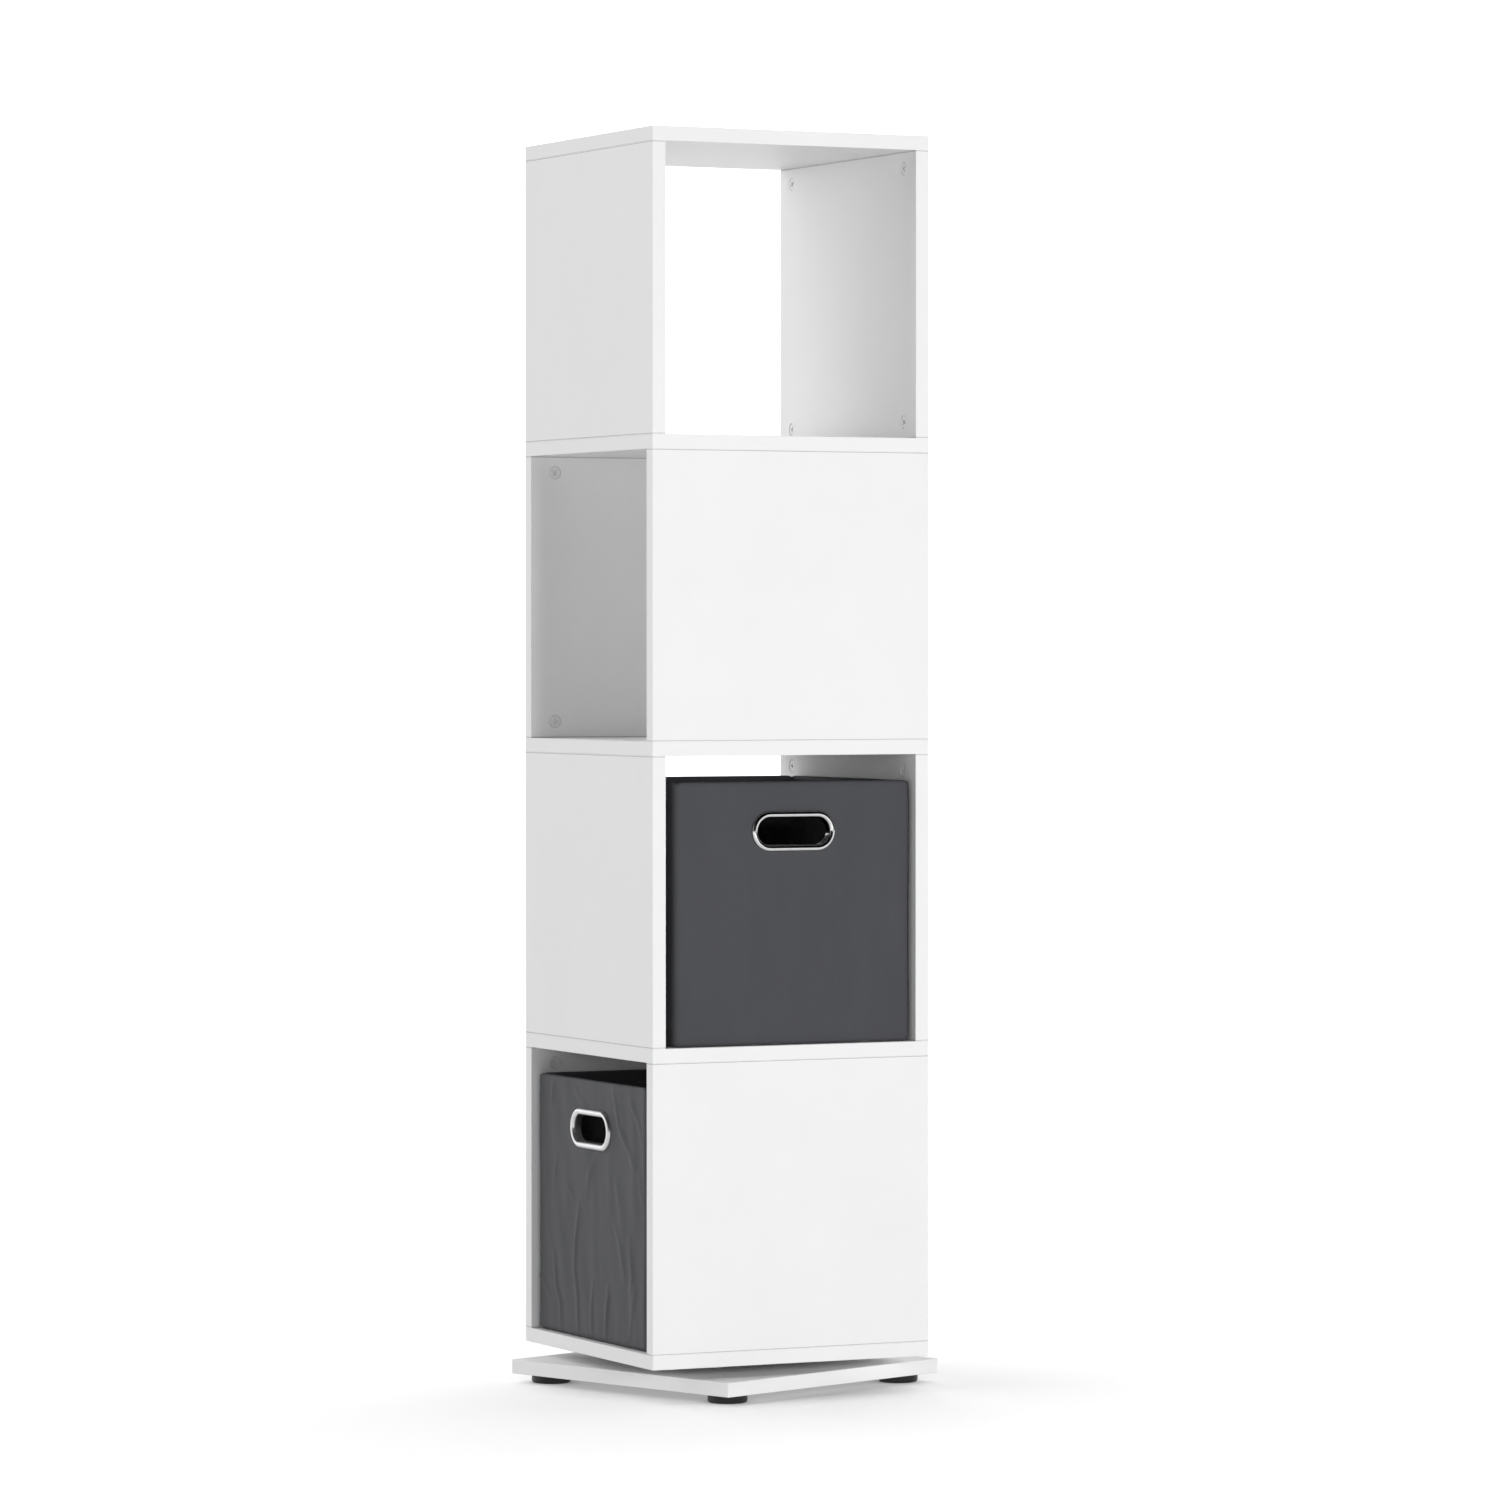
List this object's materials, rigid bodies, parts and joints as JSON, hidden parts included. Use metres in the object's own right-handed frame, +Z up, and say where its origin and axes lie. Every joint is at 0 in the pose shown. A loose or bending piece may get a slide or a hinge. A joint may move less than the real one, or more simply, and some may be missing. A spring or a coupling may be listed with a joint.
{
  "type": "rotating media tower",
  "caption": "Square white shelf tower on a ball-bearing turntable base, with stacked compartments open to alternate sides and pull-out fabric boxes with oval hand holes.",
  "frame": {"origin": "on the turning axis at the floor, in the middle of the four feet", "axes": "+Z up along the turning axis; -Y the tower's front, where the upper box faces; -X its left, where the lower box faces; the base plate lies turned by 20 degrees about +Z"},
  "size_m": [0.4354, 0.4354, 1.398],
  "materials": {
    "white_board": "satin",
    "foot_plastic": "satin",
    "cam_face": "satin",
    "zinc_steel": "satin",
    "ball_steel": "polished",
    "cage_plastic": "matte",
    "box_fabric": "matte",
    "box_lining": "matte",
    "box_card": "matte",
    "ring_chrome": "polished"
  },
  "bodies": {
    "base": {"base_plate": "white_board", "foot_front": "foot_plastic", "foot_left": "foot_plastic", "foot_right": "foot_plastic", "foot_back": "foot_plastic", "foot_screws": "zinc_steel", "turntable_lower_plate": "zinc_steel", "lower_plate_screws": "zinc_steel"},
    "ball_cage": {"turntable_balls": "ball_steel", "turntable_ball_cage": "cage_plastic"},
    "tower": {"turntable_upper_plate": "zinc_steel", "upper_plate_screws": "zinc_steel", "bottom_board": "white_board", "lower_shelf": "white_board", "middle_shelf": "white_board", "upper_shelf": "white_board", "top_board": "white_board", "bottom_front_panel": "white_board", "bottom_back_panel": "white_board", "lower_left_panel": "white_board", "lower_right_panel": "white_board", "upper_front_panel": "white_board", "upper_back_panel": "white_board", "top_left_panel": "white_board", "top_right_panel": "white_board", "cam_locks": "cam_face", "cam_bolts": "zinc_steel"},
    "upper_box": {"upper_box_cover": "box_fabric", "upper_box_lining": "box_lining", "upper_box_base_board": "box_card", "upper_box_front_stiffener": "box_card", "upper_box_back_stiffener": "box_card", "upper_box_left_stiffener": "box_card", "upper_box_right_stiffener": "box_card", "upper_box_hand_ring": "ring_chrome", "upper_box_back_ring": "ring_chrome"},
    "lower_box": {"lower_box_cover": "box_fabric", "lower_box_lining": "box_lining", "lower_box_base_board": "box_card", "lower_box_front_stiffener": "box_card", "lower_box_back_stiffener": "box_card", "lower_box_left_stiffener": "box_card", "lower_box_right_stiffener": "box_card", "lower_box_hand_ring": "ring_chrome", "lower_box_back_ring": "ring_chrome"}
  },
  "joints": [
    {"name": "tower_turn", "type": "hinge", "parent": "base", "child": "tower", "pos_m": [0, 0, 0.032], "axis": [0, 0, 1], "continuous": true},
    {"name": "ball_cage_turn", "type": "hinge", "parent": "base", "child": "ball_cage", "pos_m": [0, 0, 0.032], "axis": [0, 0, 1], "continuous": true},
    {"name": "upper_box_slide", "type": "slide", "parent": "tower", "child": "upper_box", "axis": [0, -1, 0], "range_m": [-0.34, 0.32]},
    {"name": "lower_box_slide", "type": "slide", "parent": "tower", "child": "lower_box", "axis": [-1, 0, 0], "range_m": [-0.34, 0.32]}
  ],
  "couplings": [
    {"joint": "ball_cage_turn", "follows": "tower_turn", "ratio": 0.5}
  ]
}
